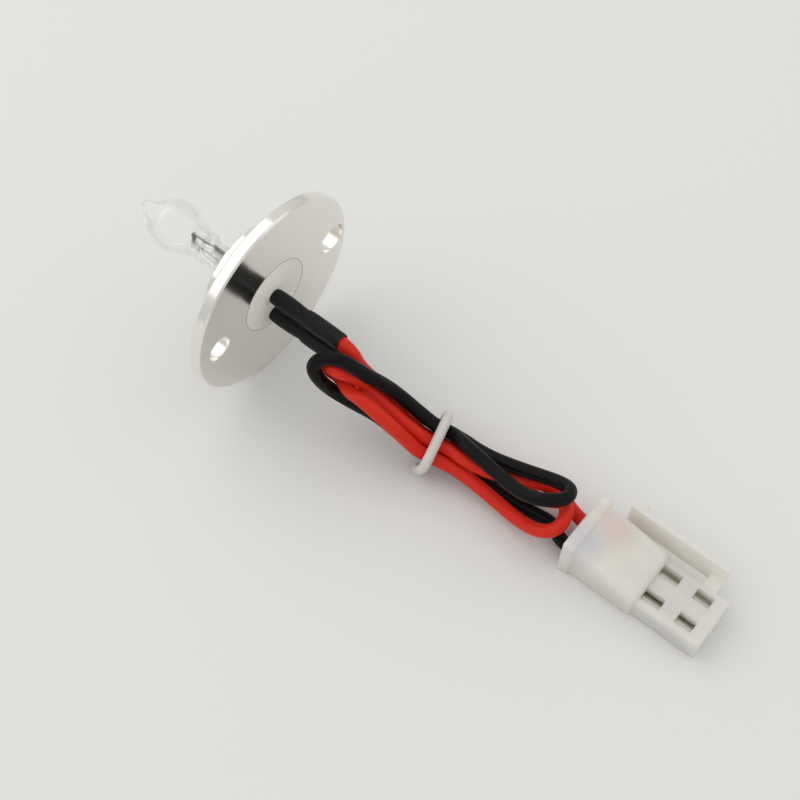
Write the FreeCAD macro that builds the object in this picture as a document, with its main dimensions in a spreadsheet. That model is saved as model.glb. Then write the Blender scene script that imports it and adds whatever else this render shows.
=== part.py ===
import FreeCAD, Part
import math
import os
import re
import Sketcher

# Halogen lamp of a laboratory analyzer, in millimetres.
# X runs along the lamp's axis: the bulb points to -X and the leads leave to +X. Z is up.
# The origin is the centre of the flange's seat, the face that the boss stands on.
# The lamp stands on the flange's rim, so the surface it rests on is at z = -flange_diameter / 2.

SIZES = [
    # flange, turned from one bar
    ("flange_diameter", 36.0),
    ("flange_thickness", 2.1),
    ("boss_diameter", 19.5),
    ("boss_height", 4.8),
    ("bore_diameter", 13.7),
    ("wide_hole_diameter", 5.6),
    ("wide_hole_margin", 0.9),
    ("narrow_hole_diameter", 4.7),
    ("narrow_hole_clearance", 1.1),
    ("edge_chamfer", 0.3),
    # ceramic holder and the cement that pots the bulb in it
    ("holder_thickness", 3.5),
    ("holder_fit", 0.05),
    ("slot_wall", 0.4),
    # quartz bulb
    ("dome_radius", 4.6),
    ("dome_place", 19.4),
    ("glass_wall", 0.9),
    ("neck_radius", 2.7),
    ("neck_start", 13.6),
    ("neck_end", 12.0),
    ("cavity_end", 12.9),
    ("tip_radius", 1.3),
    ("tip_place", 25.3),
    ("tip_root_place", 22.8),
    ("tip_root_radius", 2.5),
    ("pinch_width", 5.8),
    ("pinch_thickness", 2.4),
    ("pinch_end", 2.0),
    ("pinch_overlap", 0.4),
    ("pinch_edge_radius", 0.6),
    # filament, its supports, foils and pins
    ("coil_diameter", 0.8),
    ("coil_wire", 0.18),
    ("coil_length", 2.4),
    ("coil_place", 15.2),
    ("support_diameter", 0.3),
    ("support_bend", 12.2),
    ("foil_pitch", 3.4),
    ("foil_width", 1.5),
    ("foil_thickness", 0.1),
    ("foil_start", 10.6),
    ("foil_end", 6.4),
    ("pin_diameter", 0.7),
    ("pin_bend_start", 1.4),
    ("pin_bend_end", 1.2),
    # leads, splices and sleeves behind the flange
    ("upper_lead_y", -0.1),
    ("upper_lead_z", 0.0),
    ("lower_lead_y", -0.5),
    ("lower_lead_z", -4.5),
    ("lead_diameter", 2.3),
    ("conductor_diameter", 1.1),
    ("lead_start", 13.2),
    ("ferrule_diameter", 1.6),
    ("ferrule_start", 3.6),
    ("ferrule_length", 6.0),
    ("pin_grip", 2.9),
    ("inner_sleeve_bore", 1.7),
    ("inner_sleeve_diameter", 2.3),
    ("inner_sleeve_end", 12.4),
    ("outer_sleeve_start", 8.6),
    ("outer_sleeve_end", 16.2),
    ("outer_sleeve_wall", 0.2),
    ("sleeve_fit", 0.03),
    # connector housing
    ("housing_start", 61.9),
    ("housing_y", 3.05),
    ("housing_width", 10.1),
    ("rear_height", 9.2),
    ("step_height", 6.3),
    ("rear_length", 13.9),
    ("barrel_length", 11.5),
    ("barrel_diameter", 5.1),
    ("barrel_bore", 2.9),
    ("barrel_pitch", 5.0),
    ("barrel_overlap", 1.0),
    ("rear_bore", 3.6),
    ("shoulder_stop", 70.2),
    ("collar_length", 1.4),
    ("collar_rim", 0.4),
    ("housing_edge_radius", 0.8),
    ("window_width", 2.4),
    ("rear_window_length", 5.0),
    ("front_window_start", 6.6),
    ("front_window_length", 3.0),
    ("latch_start", 66.5),
    ("latch_length", 18.6),
    ("latch_height", 4.8),
    ("latch_width", 3.0),
    ("latch_thickness", 1.0),
    ("latch_gap", 1.5),
    ("latch_root_length", 2.6),
    ("latch_tab_length", 2.4),
    ("latch_tab_reach", 2.4),
    # crimp terminals
    ("terminal_start", 64.6),
    ("crimp_diameter", 1.9),
    ("crimp_depth", 3.4),
    ("terminal_fit", 0.03),
    ("shoulder_length", 1.2),
    ("socket_diameter", 2.2),
    ("socket_bore", 1.5),
    ("socket_depth", 8.0),
    ("socket_setback", 1.4),
    # round twist tie
    ("tie_diameter", 1.5),
    ("tie_core_diameter", 0.5),
    ("tie_corner_radius", 1.9),
    ("tie_bare_end", 1.4),
]

# Routes chosen by hand: corners between straight runs, which tangent arcs join.
# A lead's first and last points lie on the axes of its sleeve and its terminal.
RED_ROUTE = [
    (18.7, -0.1, 0.0), (20.5, 0.7, -3.6), (24.1, 2.6, -7.8), (30.1, 0.3, -13.2), (37.1, 2.5, -15.0),
    (45.2, 4.9, -16.3), (52.7, 4.2, -15.6), (55.8, 4.2, -12.5), (58.0, 4.2, -10.1), (59.7, 2.0, -10.1),
    (59.3, -0.5, -11.3), (56.7, -1.4, -13.1), (52.6, -0.6, -15.6), (45.6, -0.2, -14.7), (39.6, -0.2, -14.0),
    (33.7, -2.0, -12.9), (31.8, -3.2, -10.2), (29.0, -4.7, -6.0), (23.2, -4.1, -4.8), (19.8, -3.4, -6.8),
    (17.1, -2.3, -7.5), (15.2, -2.9, -5.8), (15.7, -3.7, -3.1), (18.2, -3.8, -2.2), (20.4, -2.0, -4.0),
    (23.0, -0.4, -7.4), (28.3, -0.5, -9.1), (33.6, 0.0, -11.6), (36.9, 1.4, -12.7), (39.2, 1.1, -11.8),
    (41.9, 0.1, -11.4), (44.8, 2.1, -12.3), (49.9, 4.6, -12.5), (54.9, 7.6, -14.8), (60.1, 5.55, -15.45),
]
BLACK_ROUTE = [
    (18.7, -0.5, -4.5), (21.2, 1.2, -8.2), (25.1, 3.4, -12.0), (31.9, 3.2, -12.8), (37.1, 4.5, -13.5),
    (42.9, 4.0, -11.0), (50.0, 5.3, -9.4), (55.0, 6.5, -9.5), (57.9, 5.6, -7.9), (58.4, 3.1, -6.9),
    (55.7, 0.8, -6.6), (51.7, 0.6, -8.5), (45.2, 1.5, -9.6), (40.0, 1.9, -9.3), (36.8, 3.3, -11.1),
    (34.1, 2.5, -11.0), (30.4, 2.4, -10.1), (25.4, 1.0, -5.8), (21.8, -1.5, -2.1), (18.5, -2.6, 0.0),
    (15.8, -3.9, -0.2), (15.6, -6.3, 0.0), (17.6, -7.7, 0.5), (20.0, -7.2, -1.1), (23.0, -5.6, -2.7),
    (24.4, -6.8, -4.5), (24.2, -6.2, -6.9), (24.9, -3.0, -8.2), (27.2, -2.1, -11.0), (31.5, -1.5, -14.5),
    (36.4, 0.0, -15.7), (39.7, -0.1, -16.5), (42.1, 1.9, -16.8), (45.8, 1.9, -16.1), (51.2, 2.1, -16.8),
    (55.4, 2.9, -16.8), (58.2, 2.8, -16.7), (60.1, 0.55, -15.45),
]
TIE_ROUTE = [
    (30.3, -2.4, -15.9), (31.2, 0.9, -16.0), (33.9, 1.7, -16.4), (34.3, -1.6, -17.7), (36.3, -4.0, -12.4),
    (34.9, 3.6, -8.4), (33.2, 6.2, -13.8), (33.7, 3.1, -15.6), (29.9, 1.9, -15.0), (28.7, -2.6, -15.3),
]

X = FreeCAD.Vector(1, 0, 0)
Y = FreeCAD.Vector(0, 1, 0)
Z = FreeCAD.Vector(0, 0, 1)
TURNS = {"x": FreeCAD.Rotation(Y, 90), "y": FreeCAD.Rotation(X, -90), "z": FreeCAD.Rotation()}

doc = FreeCAD.newDocument("AnalyzerHalogenLamp")
sheet = doc.addObject("Spreadsheet::Sheet", "Sizes")
for row, (alias, number) in enumerate(SIZES, start=1):
    sheet.set(f"A{row}", alias)
    sheet.set(f"B{row}", str(number))
    sheet.setAlias(f"B{row}", alias)
doc.recompute()
pieces = []


def cells(formula):
    """A formula over the sizes, with each size named as a cell of the sheet."""
    return re.sub(r"[a-z]+(_[a-z]+)+", r"Sizes.\g<0>", formula)


def value(formula):
    """The number that a formula over the sizes comes to."""
    result = sheet.evalExpression(cells(formula))
    return float(getattr(result, "Value", result))


def add(kind, name, **dimensions):
    """A new object with its dimensions bound to formulas over the sizes."""
    thing = doc.addObject(kind, name)
    thing.Label = name
    for dimension, formula in dimensions.items():
        thing.setExpression(dimension, cells(formula))
    return thing


def place(thing, x="0", y="0", z="0", along="z"):
    """Places an object by formulas over the sizes, with its own Z turned to point along an axis."""
    thing.Placement = FreeCAD.Placement(FreeCAD.Vector(), TURNS[along])
    for axis, formula in (("x", x), ("y", y), ("z", z)):
        thing.setExpression(f"Placement.Base.{axis}", cells(formula))
    return thing


def rod(name, radius, start, end, y="0", z="0"):
    """A cylinder along X between two formulas."""
    thing = add("Part::Cylinder", name, Radius=radius, Height=f"({end}) - ({start})")
    return place(thing, start, y, z, along="x")


def block(name, x, y, z):
    """A box between two formulas on each axis."""
    sides = {"Length": x, "Width": y, "Height": z}
    thing = add("Part::Box", name, **{side: f"({high}) - ({low})" for side, (low, high) in sides.items()})
    return place(thing, x[0], y[0], z[0])


def join(name, *shapes):
    """Several shapes as one solid."""
    thing = add("Part::MultiFuse", name)
    thing.Shapes = shapes
    thing.Refine = True
    return thing


def cut(name, base, *tools):
    """A shape less one or more tools."""
    thing = add("Part::Cut", name)
    thing.Base = base
    thing.Tool = tools[0] if len(tools) == 1 else join(f"{name}_tools", *tools)
    thing.Refine = True
    return thing


def rounded(name, base, radius):
    """Rounds the edges of a shape that run along X or nearly so."""
    doc.recompute()
    thing = add("Part::Fillet", name)
    thing.Base = base
    size = value(radius)
    edges = enumerate(base.Shape.Edges, start=1)
    thing.Edges = [(number, size, size) for number, edge in edges if abs(edge.tangentAt(0).x) > 0.9]
    return thing


def piece(thing):
    """Keeps an object as a piece of the lamp with a file of its own."""
    pieces.append(thing)
    return thing


def attached_sketch(body, name, role):
    """An empty sketch of a body on one of the body's own origin planes."""
    sketch = body.newObject("Sketcher::SketchObject", name)
    plane = next(feature for feature in body.Origin.OriginFeatures if feature.Role == role)
    sketch.AttachmentSupport = [(plane, "")]
    sketch.MapMode = "FlatFace"
    return sketch


def bind(sketch, kind, *where, formula):
    """Adds a dimension to a sketch and binds it to a formula over the sizes."""
    index = sketch.addConstraint(Sketcher.Constraint(kind, *where, value(formula)))
    sketch.setExpression(f"Constraints[{index}]", cells(formula))


def draw_outline(sketch, corners):
    """Draws a closed outline whose corners are pairs of formulas over the sizes."""
    points = [FreeCAD.Vector(value(across), value(up), 0) for across, up in corners]
    for start, end in zip(points, points[1:] + points[:1]):
        sketch.addGeometry(Part.LineSegment(start, end))
    for side in range(len(corners)):
        sketch.addConstraint(Sketcher.Constraint("Coincident", side, 2, (side + 1) % len(corners), 1))
    for side, corner in enumerate(corners):
        for kind, axis, formula in zip(("DistanceX", "DistanceY"), (-2, -1), corner):
            if formula == "0":
                sketch.addConstraint(Sketcher.Constraint("PointOnObject", side, 1, axis))
            else:
                bind(sketch, kind, side, 1, formula=formula)


def turned(name, profile, y="0", z="0"):
    """A body turned about an axis along X; its half section is (x, radius) pairs of formulas."""
    body = add("PartDesign::Body", name)
    sketch = attached_sketch(body, f"{name}_profile", "XZ_Plane")
    draw_outline(sketch, profile)
    turning = body.newObject("PartDesign::Revolution", f"{name}_turning")
    turning.Profile = sketch
    turning.ReferenceAxis = (sketch, ["H_Axis"])
    turning.Angle = 360
    return place(body, "0", y, z)


def rounded_wire(name, corners, widest):
    """Straight runs joined by tangent arcs, as wide as their runs allow and no wider than the widest."""
    edges = []
    radii = []
    last = corners[0]
    for before, corner, after in zip(corners, corners[1:], corners[2:]):
        back = before - corner
        ahead = after - corner
        half_turn = (math.pi - back.getAngle(ahead)) / 2
        radius = min(widest, 0.45 * min(back.Length, ahead.Length) / math.tan(half_turn))
        reach = radius * math.tan(half_turn)
        back.normalize()
        ahead.normalize()
        inward = back + ahead
        inward.normalize()
        middle = corner + inward * (radius / math.cos(half_turn) - radius)
        edges.append(Part.LineSegment(last, corner + back * reach).toShape())
        edges.append(Part.Arc(corner + back * reach, middle, corner + ahead * reach).toShape())
        radii.append(round(radius, 1))
        last = corner + ahead * reach
    edges.append(Part.LineSegment(last, corners[-1]).toShape())
    print(name, "bend radii", radii)
    return Part.Wire(edges)


def swept(name, route, diameter, widest=1000.0):
    """A round wire along a route, with a round section that the sheet drives."""
    corners = [FreeCAD.Vector(*corner) for corner in route]
    path = add("Part::Feature", f"{name}_path")
    path.Shape = rounded_wire(name, corners, widest)
    ring = add("Part::Circle", f"{name}_section", Radius=f"{diameter} / 2")
    ring.Placement = FreeCAD.Placement(corners[0], FreeCAD.Rotation(Z, corners[1] - corners[0]))
    sweep = add("Part::Sweep", name)
    sweep.Sections = [ring]
    sweep.Spine = path
    sweep.Solid = True
    doc.recompute()
    expected = math.pi * (value(diameter) / 2) ** 2 * path.Shape.Length
    if abs(sweep.Shape.Volume / expected - 1) > 0.01:
        raise ValueError(f"{name} has lost volume along its bends")
    return sweep


def point(x, y, z):
    """A point given by three formulas over the sizes."""
    return (value(x), value(y), value(z))


# Flange: plate and boss turned in one piece, then the two fixing holes of different width.
flange = piece(turned("lamp_flange", [
    ("-boss_height", "bore_diameter / 2"),
    ("-boss_height", "boss_diameter / 2 - edge_chamfer"),
    ("-boss_height + edge_chamfer", "boss_diameter / 2"),
    ("0", "boss_diameter / 2"),
    ("0", "flange_diameter / 2 - edge_chamfer"),
    ("edge_chamfer", "flange_diameter / 2"),
    ("flange_thickness - edge_chamfer", "flange_diameter / 2"),
    ("flange_thickness", "flange_diameter / 2 - edge_chamfer"),
    ("flange_thickness", "bore_diameter / 2"),
]))
holes = attached_sketch(flange, "fixing_hole_centres", "YZ_Plane")
wide_offset = "(flange_diameter / 2 - wide_hole_margin - wide_hole_diameter / 2)"
narrow_offset = "-(boss_diameter / 2 + narrow_hole_clearance + narrow_hole_diameter / 2)"
for offset, diameter in ((wide_offset, "wide_hole_diameter"), (narrow_offset, "narrow_hole_diameter")):
    centre = FreeCAD.Vector(value(offset), 0, 0)
    circle = holes.addGeometry(Part.Circle(centre, Z, value(diameter) / 2))
    holes.addConstraint(Sketcher.Constraint("PointOnObject", circle, 3, -1))
    bind(holes, "DistanceX", circle, 3, formula=offset)
    bind(holes, "Diameter", circle, formula=diameter)
doc.recompute()
before_drilling = flange.Shape.Volume
drilling = flange.newObject("PartDesign::Pocket", "fixing_holes")
drilling.Profile = holes
drilling.Type = "ThroughAll"
drilling.SideType = "Symmetric"
doc.recompute()
drilled = before_drilling - flange.Shape.Volume
expected = value("(wide_hole_diameter ^ 2 + narrow_hole_diameter ^ 2) * flange_thickness") * math.pi / 4
if abs(drilled - expected) > 0.02 * expected:
    raise ValueError("the fixing holes do not go through the plate")

# Quartz bulb: dome, tangent shoulder, neck and exhaust tip, hollow down to the flat pinch.
slope = "asin(dome_radius / sqrt((dome_place - neck_start) ^ 2 + neck_radius ^ 2))"
slope = f"({slope} - atan(neck_radius / (dome_place - neck_start)))"


def bulb_shell(name, wall, end):
    """The bulb's round solid, set in from the outer surface by a wall."""
    radius = f"(dome_radius - {wall})"
    neck = f"(neck_radius - {wall} / cos({slope}))"
    dome = place(add("Part::Sphere", f"{name}_dome", Radius=radius), "-dome_place")
    shoulder = add("Part::Cone", f"{name}_shoulder", Radius1=f"{radius} * cos({slope})", Radius2=neck,
                   Height=f"dome_place - neck_start - {radius} * sin({slope})")
    place(shoulder, f"-dome_place + {radius} * sin({slope})", along="x")
    return [dome, shoulder, rod(f"{name}_neck", neck, "-neck_start", end)]


tip_ball = place(add("Part::Sphere", "tip_ball", Radius="tip_radius"), "-tip_place")
tip_cone = add("Part::Cone", "tip_cone", Radius1="tip_radius", Radius2="tip_root_radius",
               Height="tip_place - tip_root_place")
place(tip_cone, "-tip_place", along="x")
pinch = rounded("pinch", block("pinch_blank", ("-neck_end - pinch_overlap", "-pinch_end"),
                               ("-pinch_thickness / 2", "pinch_thickness / 2"),
                               ("-pinch_width / 2", "pinch_width / 2")), "pinch_edge_radius")
glass = join("glass_outside", *bulb_shell("outside", "0", "-neck_end"), tip_ball, tip_cone, pinch)
cavity = join("glass_inside", *bulb_shell("inside", "glass_wall", "-cavity_end"))

# Filament upright in the dome, its two supports, and the foils and pins in the pinch.
coil = place(add("Part::Cylinder", "coil", Radius="coil_diameter / 2", Height="coil_length"),
             "-coil_place", "0", "-coil_length / 2")
core = place(add("Part::Cylinder", "coil_core", Radius="coil_diameter / 2 - coil_wire", Height="coil_length"),
             "-coil_place", "0", "-coil_length / 2")
piece(cut("filament", coil, core))
inlays = []
pins = []
for side, sign, lead_y, lead_z in (("upper", "", "upper_lead_y", "upper_lead_z"),
                                   ("lower", "-", "lower_lead_y", "lower_lead_z")):
    row = f"{sign}foil_pitch / 2"
    hook = f"{sign}(coil_length / 2 + support_diameter / 2)"
    support = piece(swept(f"{side}_support", [
        point("-foil_start", "0", row), point("-support_bend", "0", hook), point("-coil_place", "0", hook),
    ], "support_diameter"))
    foil = piece(block(f"{side}_foil", ("-foil_start", "-foil_end"),
                       ("-foil_thickness / 2", "foil_thickness / 2"),
                       (f"{row} - foil_width / 2", f"{row} + foil_width / 2")))
    pin = piece(swept(f"{side}_pin", [
        point("-foil_end", "0", row), point("-pin_bend_start", "0", row),
        point("pin_bend_end", lead_y, lead_z), point("ferrule_start + pin_grip", lead_y, lead_z),
    ], "pin_diameter"))
    pins.append(pin)
    inlays += [support, foil, pin]
bulb = piece(cut("bulb_envelope", glass, cavity, *inlays))

# Ceramic disc in the boss with a slot for the pinch, and the cement that pots pinch and pins.
holder_end = "(holder_thickness - boss_height)"
slot = block("holder_slot", ("-boss_height", holder_end),
             ("-pinch_thickness / 2 - slot_wall", "pinch_thickness / 2 + slot_wall"),
             ("-pinch_width / 2 - slot_wall", "pinch_width / 2 + slot_wall"))
disc = rod("holder_disc", "bore_diameter / 2 - holder_fit", "-boss_height", holder_end)
piece(cut("ceramic_holder", disc, slot))
backing = rod("cement_backing", "bore_diameter / 2", holder_end, "flange_thickness")
piece(cut("holder_cement", join("cement_cast", backing, slot), bulb, *pins))

# Splices behind the flange: a ferrule on each pin and conductor, an inner and an outer sleeve.
splice = "(ferrule_start + pin_grip)"
ferrule_end = "(ferrule_start + ferrule_length)"
sleeve_bore = "(lead_diameter / 2 + sleeve_fit)"
for side in ("upper", "lower"):
    axis = (f"{side}_lead_y", f"{side}_lead_z")
    piece(turned(f"{side}_ferrule", [
        ("ferrule_start", "pin_diameter / 2"),
        ("ferrule_start", "ferrule_diameter / 2"),
        (ferrule_end, "ferrule_diameter / 2"),
        (ferrule_end, "conductor_diameter / 2"),
        (splice, "conductor_diameter / 2"),
        (splice, "pin_diameter / 2"),
    ], *axis))
    piece(turned(f"{side}_inner_sleeve", [
        ("flange_thickness", "inner_sleeve_bore / 2"),
        ("flange_thickness", "inner_sleeve_diameter / 2"),
        ("inner_sleeve_end", "inner_sleeve_diameter / 2"),
        ("inner_sleeve_end", "inner_sleeve_bore / 2"),
    ], *axis))
    piece(turned(f"{side}_outer_sleeve", [
        ("outer_sleeve_start", sleeve_bore),
        ("outer_sleeve_start", f"{sleeve_bore} + outer_sleeve_wall"),
        ("outer_sleeve_end", f"{sleeve_bore} + outer_sleeve_wall"),
        ("outer_sleeve_end", sleeve_bore),
    ], *axis))

# Leads: insulation from sleeve to terminal, with the bare conductor standing out at both ends.
floor = "(-flange_diameter / 2)"
cavity_z = f"({floor} + barrel_diameter / 2)"
far_y = "(housing_y + barrel_pitch / 2)"
near_y = "(housing_y - barrel_pitch / 2)"
for colour, side, row_y, route in (("red", "upper", far_y, RED_ROUTE), ("black", "lower", near_y, BLACK_ROUTE)):
    sleeve_axis = (f"{side}_lead_y", f"{side}_lead_z")
    first = point("lead_start", *sleeve_axis)
    last = point("terminal_start", row_y, cavity_z)
    piece(join(f"{colour}_lead", swept(f"{colour}_insulation", [first, *route, last], "lead_diameter"),
               rod(f"{colour}_front_conductor", "conductor_diameter / 2", splice, "lead_start", *sleeve_axis),
               rod(f"{colour}_rear_conductor", "conductor_diameter / 2", "terminal_start",
                   "terminal_start + crimp_depth", row_y, cavity_z)))

# Twist tie round the folded leads, its wire core bare at both ends.
ends = [FreeCAD.Vector(*corner) for corner in (TIE_ROUTE[0], TIE_ROUTE[1], TIE_ROUTE[-2], TIE_ROUTE[-1])]
bare = value("tie_bare_end")
core_start = ends[0] + (ends[0] - ends[1]).normalize() * bare
core_end = ends[3] + (ends[3] - ends[2]).normalize() * bare
core_route = [core_start, *TIE_ROUTE[1:-1], core_end]
piece(join("twist_tie", swept("tie_sheath", TIE_ROUTE, "tie_diameter", value("tie_corner_radius")),
           swept("tie_core", core_route, "tie_core_diameter", value("tie_corner_radius"))))

# Connector housing: a wedge with a rim round the wire end, two barrels and a latch along the far side.
step = "(housing_start + rear_length)"
front = f"({step} + barrel_length)"
near_side = "(housing_y - housing_width / 2)"
far_side = "(housing_y + housing_width / 2)"
wedge = add("PartDesign::Body", "housing_wedge")
wedge_sketch = attached_sketch(wedge, "housing_wedge_side", "XZ_Plane")
draw_outline(wedge_sketch, [
    ("housing_start", floor),
    ("housing_start", f"{floor} + rear_height - collar_rim"),
    (step, f"{floor} + step_height"),
    (step, floor),
])
wedge_pad = wedge.newObject("PartDesign::Pad", "housing_wedge_width")
wedge_pad.Profile = wedge_sketch
wedge_pad.setExpression("Length", cells("housing_width - 2 * collar_rim"))
wedge_pad.SideType = "Symmetric"
place(wedge, "0", "housing_y", "0")
collar = block("housing_collar", ("housing_start", "housing_start + collar_length"),
               (near_side, far_side), (floor, f"{floor} + rear_height"))
latch_y = f"({far_side} + latch_gap)"
latch_z = (f"{floor} + latch_height", f"{floor} + latch_height + latch_width")
arm = block("latch_arm", ("latch_start", "latch_start + latch_length"),
            (latch_y, f"{latch_y} + latch_thickness"), latch_z)
tab = block("latch_tab", ("latch_start", "latch_start + latch_tab_length"),
            (latch_y, f"{latch_y} + latch_thickness + latch_tab_reach"), latch_z)
root = block("latch_root", (f"{step} - latch_root_length", step), ("housing_y", latch_y), latch_z)
solids = [rounded("housing_rear", wedge, "housing_edge_radius"),
          rounded("housing_rim", collar, "housing_edge_radius"), arm, tab, root]
hollows = []
for name, row_y in (("near", near_y), ("far", far_y)):
    solids.append(rod(f"{name}_barrel", "barrel_diameter / 2", f"{step} - barrel_overlap", front, row_y, cavity_z))
    hollows.append(rod(f"{name}_rear_bore", "rear_bore / 2", "housing_start", "shoulder_stop", row_y, cavity_z))
    hollows.append(rod(f"{name}_front_bore", "barrel_bore / 2", "shoulder_stop", front, row_y, cavity_z))
    width = (f"{row_y} - window_width / 2", f"{row_y} + window_width / 2")
    height = (cavity_z, f"{cavity_z} + barrel_diameter")
    hollows.append(block(f"{name}_rear_window", (step, f"{step} + rear_window_length"), width, height))
    hollows.append(block(f"{name}_front_window", (f"{step} + front_window_start",
                                                  f"{step} + front_window_start + front_window_length"),
                         width, height))
piece(cut("connector_housing", join("housing_solid", *solids), *hollows))

# Crimp socket terminals, each against the step inside its bore.
socket_end = f"({front} - socket_setback)"
socket_base = f"({socket_end} - socket_depth)"
shoulder = "(rear_bore / 2 - terminal_fit)"
for colour, row_y in (("red", far_y), ("black", near_y)):
    piece(turned(f"{colour}_terminal", [
        ("terminal_start", "conductor_diameter / 2"),
        ("terminal_start", "crimp_diameter / 2"),
        ("shoulder_stop - shoulder_length", "crimp_diameter / 2"),
        ("shoulder_stop - shoulder_length", shoulder),
        ("shoulder_stop", shoulder),
        ("shoulder_stop", "socket_diameter / 2"),
        (socket_end, "socket_diameter / 2"),
        (socket_end, "socket_bore / 2"),
        (socket_base, "socket_bore / 2"),
        (socket_base, "0"),
        ("terminal_start + crimp_depth", "0"),
        ("terminal_start + crimp_depth", "conductor_diameter / 2"),
    ], row_y, cavity_z))

doc.recompute()
for thing in doc.Objects:
    if "Invalid" in thing.State or "Error" in thing.State:
        raise ValueError(f"{thing.Name} does not compute")
os.makedirs("parts", exist_ok=True)
for thing in pieces:
    if thing.Shape.isNull() or not thing.Shape.isValid() or len(thing.Shape.Solids) != 1:
        raise ValueError(f"{thing.Label} is not one valid solid")
    thing.Shape.exportStep(f"parts/{thing.Label}.step")
    print(thing.Label, "volume", round(thing.Shape.Volume, 2))
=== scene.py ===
import bpy
import math
from mathutils import Matrix, Vector


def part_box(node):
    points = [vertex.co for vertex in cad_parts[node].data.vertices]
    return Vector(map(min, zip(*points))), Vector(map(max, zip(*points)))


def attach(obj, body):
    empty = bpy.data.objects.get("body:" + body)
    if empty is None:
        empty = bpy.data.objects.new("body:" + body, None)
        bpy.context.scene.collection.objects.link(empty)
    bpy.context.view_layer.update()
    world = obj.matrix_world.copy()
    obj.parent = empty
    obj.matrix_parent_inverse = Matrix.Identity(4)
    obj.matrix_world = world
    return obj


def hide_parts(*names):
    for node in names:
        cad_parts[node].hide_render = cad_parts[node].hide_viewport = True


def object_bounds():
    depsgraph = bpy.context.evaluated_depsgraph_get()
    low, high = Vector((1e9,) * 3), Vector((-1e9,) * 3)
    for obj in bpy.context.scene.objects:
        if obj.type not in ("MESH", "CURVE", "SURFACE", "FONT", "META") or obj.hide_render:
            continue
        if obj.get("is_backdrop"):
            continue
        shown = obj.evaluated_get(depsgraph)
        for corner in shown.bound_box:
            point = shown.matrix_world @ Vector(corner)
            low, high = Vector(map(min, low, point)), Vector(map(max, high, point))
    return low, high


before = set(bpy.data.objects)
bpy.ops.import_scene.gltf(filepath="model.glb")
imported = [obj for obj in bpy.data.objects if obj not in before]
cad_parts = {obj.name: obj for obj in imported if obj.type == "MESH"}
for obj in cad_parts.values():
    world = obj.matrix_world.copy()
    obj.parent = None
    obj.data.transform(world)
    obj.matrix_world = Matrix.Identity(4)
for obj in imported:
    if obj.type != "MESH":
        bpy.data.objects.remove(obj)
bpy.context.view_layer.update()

# Table: the lamp lies on a wide table, painted in a matt and almost white colour.
# It takes soft shadows and throws light back on the underside of everything.
TABLE_COLOUR = "E8E8E6"
TABLE_SIZE = 3.0
FLOOR_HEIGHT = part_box("lamp_flange")[0].z


def colour(code):
    """An sRGB hex code as the linear colour that a shader takes."""
    shares = [int(code[i:i + 2], 16) / 255 for i in (0, 2, 4)]
    linear = [share / 12.92 if share <= 0.04045 else ((share + 0.055) / 1.055) ** 2.4 for share in shares]
    return linear + [1.0]


def add_node(owner, kind, inputs=None, **settings):
    """Adds a node to a material or world, with its settings and with its inputs set or linked."""
    made = owner.node_tree.nodes.new(kind)
    for name, setting in settings.items():
        setattr(made, name, setting)
    for name, source in (inputs or {}).items():
        if isinstance(source, bpy.types.NodeSocket):
            owner.node_tree.links.new(source, made.inputs[name])
        else:
            made.inputs[name].default_value = source
    return made


def new_material(name):
    """A material with no nodes in it yet."""
    material = bpy.data.materials.new(name)
    material.use_nodes = True
    material.node_tree.nodes.clear()
    return material


def finish_material(material, shader):
    """Sends a shader to the material's surface."""
    add_node(material, "ShaderNodeOutputMaterial", {"Surface": shader.outputs[0]})
    return material


def deselect():
    """Clears the selection, because an operator acts on all that is selected."""
    bpy.ops.object.select_all(action="DESELECT")


table_paint = new_material("matt_table_paint")
table_shader = add_node(table_paint, "ShaderNodeBsdfPrincipled",
                        {"Base Color": colour(TABLE_COLOUR), "Roughness": 0.7, "Specular IOR Level": 0.2})
finish_material(table_paint, table_shader)
deselect()
bpy.ops.mesh.primitive_plane_add(size=TABLE_SIZE, location=(0, 0, FLOOR_HEIGHT))
table = bpy.context.object
table.name = "table"
table.data.materials.append(table_paint)
table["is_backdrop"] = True

# Camera: a short telephoto held above the table, turned a little about its own axis.
# It looks down at the back of the flange, along the leads.
CAMERA_PLACE = (0.09547, -0.09739, 0.2013)
CAMERA_AZIMUTH = math.radians(34.73)
CAMERA_HEIGHT_ANGLE = math.radians(60.17)
CAMERA_ROLL = math.radians(4.0)
CAMERA_LENS = 67.5

camera_data = bpy.data.cameras.new("camera")
camera_data.lens = CAMERA_LENS
camera_data.clip_start = 0.01
camera = bpy.data.objects.new("camera", camera_data)
bpy.context.collection.objects.link(camera)
camera.matrix_world = (Matrix.Translation(CAMERA_PLACE) @ Matrix.Rotation(CAMERA_AZIMUTH, 4, "Z")
                       @ Matrix.Rotation(math.pi / 2 - CAMERA_HEIGHT_ANGLE, 4, "X")
                       @ Matrix.Rotation(CAMERA_ROLL, 4, "Z"))
bpy.context.scene.camera = camera

# Light: two large soft lamps, one high on the far right and a stronger one on the left, in a pale room.
# The room darkens towards the horizon, which gives the bare metal its contrast.
AIM = Vector((0.035, 0.0, -0.01))
FAR_LAMP_PLACE = (0.35, 0.45, 0.55)
FAR_LAMP_SIZE = 0.9
FAR_LAMP_POWER = 0.6
NEAR_LAMP_PLACE = (-0.4, -0.12, 0.38)
NEAR_LAMP_SIZE = 1.0
NEAR_LAMP_POWER = 1.75
ROOM_COLOUR = "E6E6E5"
ZENITH_STRENGTH = 0.9
HORIZON_STRENGTH = 0.7
HORIZON_RISE = -0.1
ZENITH_RISE = 0.5


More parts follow.
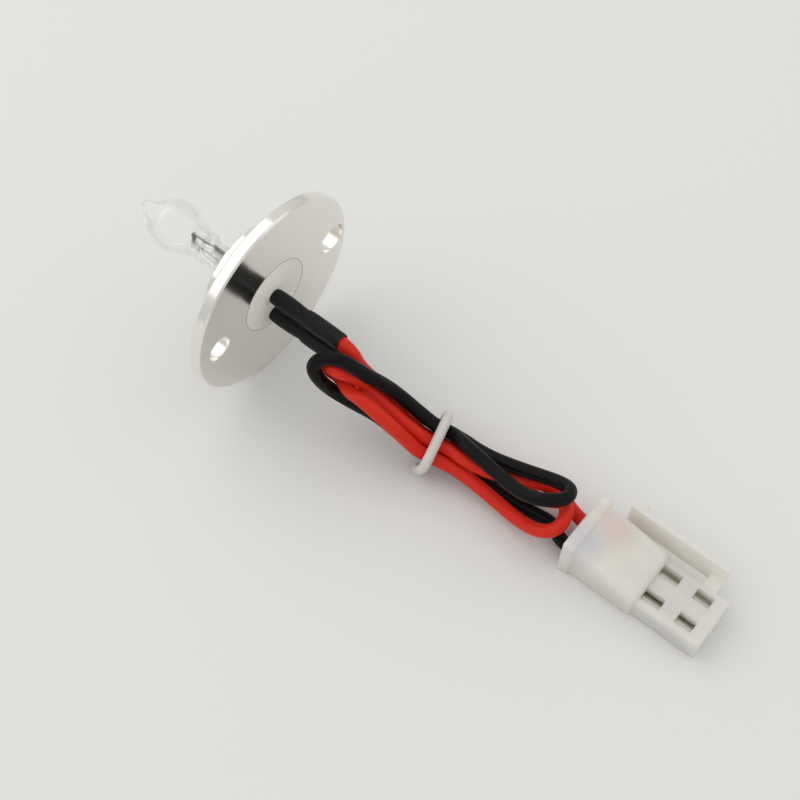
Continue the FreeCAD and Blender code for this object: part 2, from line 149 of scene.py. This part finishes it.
def soft_lamp(name, place, size, power):
    """A square studio lamp that points at the middle of the object."""
    data = bpy.data.lights.new(name, "AREA")
    data.size = size
    data.energy = power
    lamp = bpy.data.objects.new(name, data)
    bpy.context.collection.objects.link(lamp)
    lamp.location = place
    lamp.rotation_euler = (Vector(place) - AIM).to_track_quat("Z", "Y").to_euler()


soft_lamp("far_lamp", FAR_LAMP_PLACE, FAR_LAMP_SIZE, FAR_LAMP_POWER)
soft_lamp("near_lamp", NEAR_LAMP_PLACE, NEAR_LAMP_SIZE, NEAR_LAMP_POWER)
room = bpy.data.worlds.new("room")
room.use_nodes = True
view_direction = add_node(room, "ShaderNodeTexCoord")
rise = add_node(room, "ShaderNodeSeparateXYZ", {"Vector": view_direction.outputs["Generated"]})
strength = add_node(room, "ShaderNodeMapRange",
                    {"Value": rise.outputs["Z"], "From Min": HORIZON_RISE, "From Max": ZENITH_RISE,
                     "To Min": HORIZON_STRENGTH, "To Max": ZENITH_STRENGTH})
backdrop = room.node_tree.nodes["Background"]
backdrop.inputs["Color"].default_value = colour(ROOM_COLOUR)
room.node_tree.links.new(strength.outputs[0], backdrop.inputs["Strength"])
bpy.context.scene.world = room
bpy.context.scene.view_settings.view_transform = "Standard"

# Flange: one piece of aluminium, faced and turned on a lathe and left bare.
# The tool's fine rings stretch every highlight along the radius, and the sleeves mirror in its back face.
# The rings are drawn coarser than the tool leaves them, because real ones are too fine to show.
ALUMINIUM_COLOUR = "F2EFE9"
RING_PITCH = 0.00157
WAVE_PERIOD = math.pi / 10  # the length after which a wave texture of scale 1 repeats

turned_aluminium = new_material("turned_aluminium")
place_node = add_node(turned_aluminium, "ShaderNodeTexCoord")
rings = add_node(turned_aluminium, "ShaderNodeTexWave",
                 {"Vector": place_node.outputs["Object"], "Scale": WAVE_PERIOD / RING_PITCH,
                  "Distortion": 0.6, "Detail": 2.0, "Detail Scale": 0.3},
                 wave_type="RINGS", rings_direction="X")
ring_bump = add_node(turned_aluminium, "ShaderNodeBump",
                     {"Height": rings.outputs["Fac"], "Strength": 0.04, "Distance": 0.00001})
grain_direction = add_node(turned_aluminium, "ShaderNodeTangent", direction_type="RADIAL", axis="X")
turned_shader = add_node(turned_aluminium, "ShaderNodeBsdfPrincipled",
                         {"Base Color": colour(ALUMINIUM_COLOUR), "Metallic": 1.0, "Roughness": 0.14,
                          "Anisotropic": 0.5, "Normal": ring_bump.outputs["Normal"],
                          "Tangent": grain_direction.outputs["Tangent"]})
finish_material(turned_aluminium, turned_shader)


def dress(node, material):
    """Gives a CAD node its finish."""
    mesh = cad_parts[node].data
    mesh.materials.clear()
    mesh.materials.append(material)


dress("lamp_flange", turned_aluminium)

# Ceramic disc and cement: unglazed white steatite, and the pale cement cast behind it.
# Both are matt, and the cement is the paler one, with a coarser grain.
CERAMIC_COLOUR = "E8E6E1"
CEMENT_COLOUR = "F4F1EA"
CERAMIC_GRAIN = 0.0004
CEMENT_GRAIN = 0.0008


def matt_ceramic(name, code, grain):
    """Fired or cast ceramic with a fine uneven surface."""
    material = new_material(name)
    place_node = add_node(material, "ShaderNodeTexCoord")
    speckle = add_node(material, "ShaderNodeTexNoise",
                       {"Vector": place_node.outputs["Object"], "Scale": 1 / grain, "Detail": 4.0,
                        "Roughness": 0.6})
    surface = add_node(material, "ShaderNodeBump",
                       {"Height": speckle.outputs["Fac"], "Strength": 0.25, "Distance": 0.00008})
    shader = add_node(material, "ShaderNodeBsdfPrincipled",
                      {"Base Color": colour(code), "Roughness": 0.75, "Normal": surface.outputs["Normal"]})
    return finish_material(material, shader)


dress("ceramic_holder", matt_ceramic("fired_steatite", CERAMIC_COLOUR, CERAMIC_GRAIN))
dress("holder_cement", matt_ceramic("ceramic_cement", CEMENT_COLOUR, CEMENT_GRAIN))

# Seam round the cement: it shrank a little as it set, and a thin ring is drawn in the gap along the bore.
# The ring is coloured darker than the cement and shows as a thin darker line.
SEAM_COLOUR = "B5ADA2"
SEAM_WIDTH = 0.00011
SEAM_SIDES = 8
SEAM_STEPS = 96

back_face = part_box("lamp_flange")[1].x
cement_low, cement_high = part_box("holder_cement")
seam_radius = (cement_high.y - cement_low.y) / 2
deselect()
bpy.ops.mesh.primitive_circle_add(vertices=SEAM_SIDES, radius=SEAM_WIDTH / 2,
                                  location=(back_face, seam_radius, 0), rotation=(0, 0, math.pi / 2))
bpy.ops.object.transform_apply(location=True, rotation=True, scale=True)
seam = bpy.context.object
seam.name = "cement_seam"
bpy.ops.object.mode_set(mode="EDIT")
bpy.ops.mesh.select_all(action="SELECT")
bpy.ops.mesh.spin(steps=SEAM_STEPS, angle=2 * math.pi, center=(back_face, 0, 0), axis=(1, 0, 0))
bpy.ops.mesh.select_all(action="SELECT")
bpy.ops.mesh.remove_doubles(threshold=1e-6)
bpy.ops.mesh.normals_make_consistent(inside=False)
bpy.ops.object.mode_set(mode="OBJECT")
bpy.ops.object.shade_smooth()
seam.data.materials.append(matt_ceramic("darker_seam_ring", SEAM_COLOUR, CERAMIC_GRAIN))
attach(seam, "root")

# Bulb: blown quartz tube with a pinched foot and a sealed exhaust tip.
# Clear and colourless, so it shows by its edges and by what it reflects.
QUARTZ_COLOUR = "FFFFFF"

quartz = new_material("clear_quartz")
quartz_shader = add_node(quartz, "ShaderNodeBsdfPrincipled",
                         {"Base Color": colour(QUARTZ_COLOUR), "Roughness": 0.0, "IOR": 1.35,
                          "Transmission Weight": 1.0, "Alpha": 0.45})
finish_material(quartz, quartz_shader)
dress("bulb_envelope", quartz)

# Filament, supports, foils and pins: drawn tungsten wire, fed through the pinch by rolled molybdenum.
# Both are grey and satin, with faint lines along the lamp's axis.
TUNGSTEN_COLOUR = "8C8A88"
MOLYBDENUM_COLOUR = "DDDBD8"
DRAWN_LINES_PER_METRE = (300.0, 9000.0, 9000.0)


def drawn_metal(name, code, roughness):
    """Drawn wire or rolled foil with faint draw lines along X."""
    material = new_material(name)
    place_node = add_node(material, "ShaderNodeTexCoord")
    stretched = add_node(material, "ShaderNodeMapping",
                         {"Vector": place_node.outputs["Object"], "Scale": DRAWN_LINES_PER_METRE})
    lines = add_node(material, "ShaderNodeTexNoise", {"Vector": stretched.outputs["Vector"], "Scale": 1.0})
    surface = add_node(material, "ShaderNodeBump",
                       {"Height": lines.outputs["Fac"], "Strength": 0.2, "Distance": 0.00001})
    shader = add_node(material, "ShaderNodeBsdfPrincipled",
                      {"Base Color": colour(code), "Metallic": 1.0, "Roughness": roughness,
                       "Normal": surface.outputs["Normal"]})
    return finish_material(material, shader)


tungsten = drawn_metal("drawn_tungsten", TUNGSTEN_COLOUR, roughness=0.4)
molybdenum = drawn_metal("rolled_molybdenum", MOLYBDENUM_COLOUR, roughness=0.65)
for node in ("filament", "upper_support", "lower_support"):
    dress(node, tungsten)
for node in ("upper_foil", "lower_foil", "upper_pin", "lower_pin"):
    dress(node, molybdenum)

# Splices: tinned ferrules under black sleeves, an inner one and a wider one shrunk over the lead.
# The sleeves are soft polyolefin with a satin skin, and each station is a place along X and a radius.
SLEEVE_COLOUR = "101011"
SLEEVE_RELIEF = 0.00012
SKIN_GRAIN = 0.0009
TIN_COLOUR = "C9C7C0"
SLEEVE_SIDES = 28
SLEEVE_LEVELS = 2
INNER_STATIONS = [
    (0.0021, 0.00115), (0.0022, 0.00128), (0.0028, 0.00142), (0.0042, 0.00146), (0.0060, 0.00143),
    (0.0076, 0.00132), (0.0092, 0.00122), (0.0124, 0.00117), (0.0124, 0.00090),
]
OUTER_STATIONS = [
    (0.0088, 0.00119), (0.0086, 0.00133), (0.0088, 0.00144), (0.0102, 0.00153), (0.0122, 0.00148),
    (0.0142, 0.00146), (0.0158, 0.00142), (0.0162, 0.00136), (0.0160, 0.00122), (0.0148, 0.00119),
]

tinned_brass = drawn_metal("tinned_brass", TIN_COLOUR, roughness=0.25)
for node in ("upper_ferrule", "lower_ferrule"):
    dress(node, tinned_brass)


def soft_plastic(name, code, roughness, gloss, grain, relief):
    """Extruded or moulded soft plastic with a faint uneven skin."""
    material = new_material(name)
    place_node = add_node(material, "ShaderNodeTexCoord")
    skin = add_node(material, "ShaderNodeTexNoise",
                    {"Vector": place_node.outputs["Object"], "Scale": 1 / grain, "Detail": 3.0})
    surface = add_node(material, "ShaderNodeBump",
                       {"Height": skin.outputs["Fac"], "Strength": 0.3, "Distance": relief})
    shader = add_node(material, "ShaderNodeBsdfPrincipled",
                      {"Base Color": colour(code), "Roughness": roughness, "Specular IOR Level": gloss,
                       "Normal": surface.outputs["Normal"]})
    return finish_material(material, shader)


def apply_modifier(piece, kind, **settings):
    """Adds a modifier to a piece and applies it."""
    modifier = piece.modifiers.new("shaping", kind)
    for name, setting in settings.items():
        setattr(modifier, name, setting)
    deselect()
    piece.select_set(True)
    bpy.context.view_layer.objects.active = piece
    bpy.ops.object.modifier_apply(modifier="shaping")


def shrunk_sleeve(name, stations, material, node):
    """A sleeve drawn out ring by ring along its lead, in place of a CAD node."""
    low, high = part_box(node)
    row = (low.y + high.y) / 2
    level = (low.z + high.z) / 2
    start, radius = stations[0]
    deselect()
    bpy.ops.mesh.primitive_circle_add(vertices=SLEEVE_SIDES, radius=radius, location=(start, row, level),
                                      rotation=(0, math.pi / 2, 0))
    bpy.ops.object.transform_apply(location=True, rotation=True, scale=True)
    sleeve = bpy.context.object
    sleeve.name = name
    bpy.ops.object.mode_set(mode="EDIT")
    bpy.ops.mesh.select_all(action="SELECT")
    for end, end_radius in stations[1:]:
        bpy.ops.mesh.extrude_edges_move(TRANSFORM_OT_translate={"value": (end - start, 0, 0)})
        bpy.ops.transform.resize(value=(1, end_radius / radius, end_radius / radius),
                                 center_override=(end, row, level))
        start, radius = end, end_radius
    bpy.ops.mesh.select_all(action="SELECT")
    bpy.ops.mesh.normals_make_consistent(inside=False)
    bpy.ops.object.mode_set(mode="OBJECT")
    apply_modifier(sleeve, "SUBSURF", levels=SLEEVE_LEVELS, render_levels=SLEEVE_LEVELS)
    bpy.ops.object.shade_smooth()
    sleeve.data.materials.append(material)
    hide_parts(node)
    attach(sleeve, "root")


sleeving = soft_plastic("shrunk_polyolefin", SLEEVE_COLOUR, roughness=0.5, gloss=0.25, grain=SKIN_GRAIN,
                        relief=SLEEVE_RELIEF)
for splice in ("upper", "lower"):
    shrunk_sleeve(f"{splice}_shrunk_inner_sleeve", INNER_STATIONS, sleeving, node=f"{splice}_inner_sleeve")
    shrunk_sleeve(f"{splice}_shrunk_outer_sleeve", OUTER_STATIONS, sleeving, node=f"{splice}_outer_sleeve")

# Leads: stranded wire in silicone insulation with a soft sheen, each folded into three strands side by side.
# The route points are the corners of each lead's path, and the lead bends within them.
LEAD_DIAMETER = 0.0023
INSULATION_RELIEF = 0.00004
RED_COLOUR = "D82A18"
BLACK_COLOUR = "0D0A0A"
RED_ROUTE = [
    (0.0132, -0.0001, 0), (0.0179, -0.0001, 0), (0.0201, -0.0004, -0.0034), (0.0246, 0.0016, -0.0083),
    (0.0302, 0.0006, -0.013), (0.0372, 0.0025, -0.0148), (0.0452, 0.0049, -0.0163),
    (0.0527, 0.0041, -0.0155), (0.0558, 0.0042, -0.0125), (0.058, 0.0042, -0.0101), (0.0597, 0.002, -0.0101),
    (0.0593, -0.0005, -0.0113), (0.0567, -0.0014, -0.0131), (0.0526, -0.0006, -0.0156),
    (0.0456, -0.0002, -0.0147), (0.0396, -0.0002, -0.0141), (0.0339, -0.0023, -0.0125),
    (0.0319, -0.003, -0.01), (0.0286, -0.0042, -0.006), (0.0239, -0.0047, -0.0034),
    (0.0205, -0.0041, -0.0049), (0.0179, -0.0026, -0.0055), (0.0159, -0.0033, -0.0043),
    (0.016, -0.0039, -0.0019), (0.0185, -0.0044, -0.0008), (0.0209, -0.0025, -0.0023),
    (0.0238, -0.0015, -0.0057), (0.0283, -0.001, -0.0092), (0.0335, -0.0001, -0.0118),
    (0.0369, 0.0012, -0.0124), (0.0406, 0.0009, -0.0118), (0.0449, 0.002, -0.0129),
    (0.0499, 0.0045, -0.0125), (0.0549, 0.0076, -0.0146), (0.0601, 0.00555, -0.01545),
    (0.0646, 0.00555, -0.01545),
]
BLACK_ROUTE = [
    (0.0132, -0.0005, -0.0045), (0.0187, -0.0005, -0.0045), (0.0208, 0.0017, -0.0093),
    (0.0251, 0.0034, -0.012), (0.0319, 0.0033, -0.0127), (0.0371, 0.0044, -0.0133),
    (0.0433, 0.0034, -0.0111), (0.05, 0.0047, -0.01), (0.055, 0.0062, -0.0096), (0.0579, 0.0056, -0.0079),
    (0.0584, 0.0031, -0.0069), (0.0557, 0.0005, -0.0066), (0.0517, 0.0001, -0.0084),
    (0.0452, 0.0015, -0.0096), (0.04, 0.0019, -0.0093), (0.0368, 0.0033, -0.011), (0.0341, 0.0025, -0.0109),
    (0.0304, 0.0024, -0.01), (0.0256, 0.0008, -0.0053), (0.0224, -0.0023, -0.0002),
    (0.0189, -0.0032, 0.0013), (0.0162, -0.0045, 0.0013), (0.0149, -0.0061, -0.0005),
    (0.0161, -0.0063, -0.003), (0.0177, -0.0045, -0.0076), (0.0219, -0.0041, -0.0075),
    (0.0254, -0.0026, -0.0095), (0.0285, -0.0017, -0.0122), (0.0318, -0.0007, -0.0153),
    (0.0362, 0.001, -0.0166), (0.0397, 0.0006, -0.0165), (0.0421, 0.0019, -0.0168),
    (0.0458, 0.0019, -0.0162), (0.0512, 0.0021, -0.0168), (0.0554, 0.0029, -0.0168),
    (0.0582, 0.0028, -0.0167), (0.0601, 0.00055, -0.01545), (0.0646, 0.00055, -0.01545),
]


def smooth_tube(name, route, diameter, material, node):
    """A tube along a smooth line that its route guides, in place of a CAD node."""
    curve = bpy.data.curves.new(name, "CURVE")
    curve.dimensions = "3D"
    curve.bevel_depth = diameter / 2
    curve.bevel_resolution = 6
    curve.resolution_u = 10
    curve.use_fill_caps = True
    line = curve.splines.new("NURBS")
    line.points.add(len(route) - 1)
    for point, place in zip(line.points, route):
        point.co = (*place, 1.0)
    line.order_u = 3
    line.use_endpoint_u = True
    tube = bpy.data.objects.new(name, curve)
    bpy.context.collection.objects.link(tube)
    curve.materials.append(material)
    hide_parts(node)
    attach(tube, "root")
    return tube


red_silicone = soft_plastic("red_silicone", RED_COLOUR, roughness=0.42, gloss=0.2, grain=SKIN_GRAIN,
                            relief=INSULATION_RELIEF)
black_silicone = soft_plastic("black_silicone", BLACK_COLOUR, roughness=0.4, gloss=0.14, grain=SKIN_GRAIN,
                              relief=INSULATION_RELIEF)
red_lead = smooth_tube("red_insulation", RED_ROUTE, LEAD_DIAMETER, red_silicone, node="red_lead")
black_lead = smooth_tube("black_insulation", BLACK_ROUTE, LEAD_DIAMETER, black_silicone, node="black_lead")

# Twist tie: a wire core in a thick off-white sheath of soft plastic, glossier than the leads.
# It is bent by hand round the folded leads, and its ends are tucked under them.
TIE_COLOUR = "D3D0CB"
TIE_DIAMETER = 0.0017
TIE_GRAIN = 0.0006
TIE_ROUTE = [
    (0.0344, -0.0031, -0.0164), (0.0355, -0.0040, -0.0147), (0.0365, -0.0043, -0.0119),
    (0.0360, -0.0014, -0.0105), (0.0352, 0.0026, -0.0084), (0.0347, 0.0042, -0.0090),
    (0.0330, 0.0067, -0.0135), (0.0335, 0.0038, -0.0165), (0.0300, 0.0022, -0.0171),
    (0.0312, -0.0011, -0.0172),
]

sheath = soft_plastic("off_white_sheath", TIE_COLOUR, roughness=0.5, gloss=0.4, grain=TIE_GRAIN,
                      relief=INSULATION_RELIEF)
twist_tie = smooth_tube("tie_sheath", TIE_ROUTE, TIE_DIAMETER, sheath, node="twist_tie")

# Connector: a two-way housing of natural nylon, moulded in one piece with its latch.
# A wedge with a rim takes the wires, and a lower box holds the sockets behind open windows.
# The nylon is milky and lets light through. Where the wires inside would show through it, their red and grey
# are painted into its colour as faint patches.
NYLON_COLOUR = "FCF5E9"
PAINTED_RED_SHOW_THROUGH_COLOUR = "F0E0DB"
PAINTED_GREY_SHOW_THROUGH_COLOUR = "E2E0E2"
SHOW_THROUGH_REACH = 0.0055
SHOW_THROUGH_CORE = SHOW_THROUGH_REACH / 4
RED_SHOW_THROUGH_PLACE = (0.0665, 0.0058, -0.0100)
GREY_SHOW_THROUGH_PLACE = (0.0640, 0.0000, -0.0105)
REAR_WIDTH = 0.0105
REAR_HEIGHT = 0.009
REAR_LENGTH = 0.0139
STEP_HEIGHT = 0.0063
RIM_LENGTH = 0.0022
RIM = 0.0003
FRONT_WIDTH = 0.0095
FRONT_HEIGHT = 0.0051
FRONT_LENGTH = 0.0115
FRONT_OVERLAP = 0.001
REAR_BORE = 0.0036
FRONT_BORE = 0.0029
BORE_STEP = 0.0702
BORE_SIDES = 48
CUT_MARGIN = 0.0003
WINDOW_WIDTH = 0.0021
REAR_WINDOW_LENGTH = 0.0034
FRONT_WINDOW_START = 0.0062
FRONT_WINDOW_LENGTH = 0.003
LATCH_START = 0.0665
LATCH_LENGTH = 0.0181
LATCH_HEIGHT = 0.0026
LATCH_WIDTH = 0.0055
LATCH_THICKNESS = 0.001
LATCH_GAP = 0.0018
LATCH_ROOT_LENGTH = 0.0024
LATCH_TAB_LENGTH = 0.0022
LATCH_TAB_REACH = 0.0012
MOULD_RADIUS = 0.00012
REAR_EDGE_RADIUS = 0.001
FRONT_EDGE_RADIUS = 0.0005
ROUNDING_SEGMENTS = 4
CORNER_ANGLE = math.radians(40)
MOULD_ANGLE = math.radians(50)
SMOOTH_ANGLE = math.radians(35)

nylon = new_material("natural_nylon")
place_node = add_node(nylon, "ShaderNodeTexCoord")
shade = colour(NYLON_COLOUR)
# Painted see-through: each wire's colour is mixed into the nylon's colour round a point inside, fading out
# with the distance.
for show_through, centre in ((PAINTED_RED_SHOW_THROUGH_COLOUR, RED_SHOW_THROUGH_PLACE), (PAINTED_GREY_SHOW_THROUGH_COLOUR, GREY_SHOW_THROUGH_PLACE)):
    distance = add_node(nylon, "ShaderNodeVectorMath", {0: place_node.outputs["Object"], 1: centre},
                        operation="DISTANCE")
    amount = add_node(nylon, "ShaderNodeMapRange",
                      {"Value": distance.outputs["Value"], "From Min": SHOW_THROUGH_CORE, "From Max": SHOW_THROUGH_REACH,
                       "To Min": 1.0, "To Max": 0.0}, interpolation_type="SMOOTHSTEP")
    # Sockets 6 and 7 of a Mix node are its two colours.
    painted_show_through = add_node(nylon, "ShaderNodeMix", {0: amount.outputs[0], 6: shade, 7: colour(show_through)},
                      data_type="RGBA")
    shade = painted_show_through.outputs[2]
nylon_shader = add_node(nylon, "ShaderNodeBsdfPrincipled",
                        {"Base Color": shade, "Roughness": 0.4, "IOR": 1.53, "Specular IOR Level": 0.3,
                         "Subsurface Weight": 0.8, "Subsurface Radius": (1.0, 0.97, 0.88),
                         "Subsurface Scale": 0.004, "Transmission Weight": 0.2})
finish_material(nylon, nylon_shader)

rows = []
for node in ("black_terminal", "red_terminal"):
    dress(node, tinned_brass)
    low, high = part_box(node)
    rows.append((low.y + high.y) / 2)
rear_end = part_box("connector_housing")[0].x
middle = sum(rows) / 2
step = rear_end + REAR_LENGTH
nose_end = step + FRONT_LENGTH
near_wall = middle - REAR_WIDTH / 2
far_wall = middle + REAR_WIDTH / 2
rear_top = FLOOR_HEIGHT + REAR_HEIGHT
nose_top = FLOOR_HEIGHT + FRONT_HEIGHT
cavity_level = FLOOR_HEIGHT + FRONT_HEIGHT / 2
latch_wall = far_wall + LATCH_GAP
latch_end = LATCH_START + LATCH_LENGTH
latch_bottom = FLOOR_HEIGHT + LATCH_HEIGHT
latch_top = latch_bottom + LATCH_WIDTH


def block(name, x, y, z):
    """A box between two values on each axis."""
    deselect()
    bpy.ops.mesh.primitive_cube_add(size=1, location=[sum(ends) / 2 for ends in (x, y, z)],
                                    scale=[ends[1] - ends[0] for ends in (x, y, z)])
    bpy.ops.object.transform_apply(location=True, rotation=True, scale=True)
    made = bpy.context.object
    made.name = name
    return made


def round_edges(piece, radius, angle):
    """Rounds the edges that turn by more than an angle."""
    apply_modifier(piece, "BEVEL", width=radius, segments=ROUNDING_SEGMENTS, limit_method="ANGLE",
                   angle_limit=angle, use_clamp_overlap=True)


def bore(name, radius, start, end, row):
    """A round core for a cavity along X."""
    deselect()
    bpy.ops.mesh.primitive_cylinder_add(vertices=BORE_SIDES, radius=radius, depth=end - start,
                                        location=((start + end) / 2, row, cavity_level),
                                        rotation=(0, math.pi / 2, 0))
    bpy.ops.object.transform_apply(location=True, rotation=True, scale=True)
    made = bpy.context.object
    made.name = name
    return made


def combine(piece, tool, operation):
    """Joins a tool to a piece or cuts it out, and removes the tool."""
    apply_modifier(piece, "BOOLEAN", object=tool, operation=operation, solver="EXACT")
    bpy.data.objects.remove(tool)


housing = block("nylon_housing", (rear_end, step), (near_wall, far_wall), (FLOOR_HEIGHT, rear_top))
# The top edge at the step comes down, so that the block becomes a wedge.
bpy.ops.object.mode_set(mode="EDIT")
bpy.ops.mesh.select_all(action="DESELECT")
bpy.ops.object.mode_set(mode="OBJECT")
for corner in housing.data.vertices:
    corner.select = corner.co.x > rear_end + REAR_LENGTH / 2 and corner.co.z > cavity_level
bpy.ops.object.mode_set(mode="EDIT")
bpy.ops.transform.translate(value=(0, 0, STEP_HEIGHT - REAR_HEIGHT))
bpy.ops.object.mode_set(mode="OBJECT")
rim = block("rim", (rear_end, rear_end + RIM_LENGTH), (near_wall - RIM, far_wall + RIM),
            (FLOOR_HEIGHT, rear_top))
nose = block("nose", (step - FRONT_OVERLAP, nose_end), (middle - FRONT_WIDTH / 2, middle + FRONT_WIDTH / 2),
             (FLOOR_HEIGHT, nose_top))
arm = block("arm", (LATCH_START, latch_end), (latch_wall, latch_wall + LATCH_THICKNESS),
            (latch_bottom, latch_top))
tab = block("tab", (LATCH_START, LATCH_START + LATCH_TAB_LENGTH),
            (latch_wall, latch_wall + LATCH_THICKNESS + LATCH_TAB_REACH), (latch_bottom, latch_top))
root = block("root", (latch_end - LATCH_ROOT_LENGTH, latch_end),
             (middle + FRONT_WIDTH / 2 - CUT_MARGIN, latch_wall + LATCH_THICKNESS / 2),
             (latch_bottom, nose_top))
round_edges(housing, REAR_EDGE_RADIUS, CORNER_ANGLE)
for piece in (rim, nose):
    round_edges(piece, FRONT_EDGE_RADIUS, CORNER_ANGLE)
for piece in (rim, nose, arm, tab, root):
    combine(housing, piece, "UNION")
above = (cavity_level, nose_top + CUT_MARGIN)
bridge_end = step + FRONT_WINDOW_START
for row in rows:
    across = (row - WINDOW_WIDTH / 2, row + WINDOW_WIDTH / 2)
    cores = (bore("rear_core", REAR_BORE / 2, rear_end - CUT_MARGIN, BORE_STEP, row),
             bore("front_core", FRONT_BORE / 2, BORE_STEP - CUT_MARGIN, nose_end + CUT_MARGIN, row),
             block("rear_window", (step, step + REAR_WINDOW_LENGTH), across, above),
             block("front_window", (bridge_end, bridge_end + FRONT_WINDOW_LENGTH), across, above))
    for core in cores:
        combine(housing, core, "DIFFERENCE")
round_edges(housing, MOULD_RADIUS, MOULD_ANGLE)
bpy.ops.object.shade_smooth_by_angle(angle=SMOOTH_ANGLE)
housing.data.materials.clear()
housing.data.materials.append(nylon)
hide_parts("connector_housing")
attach(housing, "root")

low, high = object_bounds()
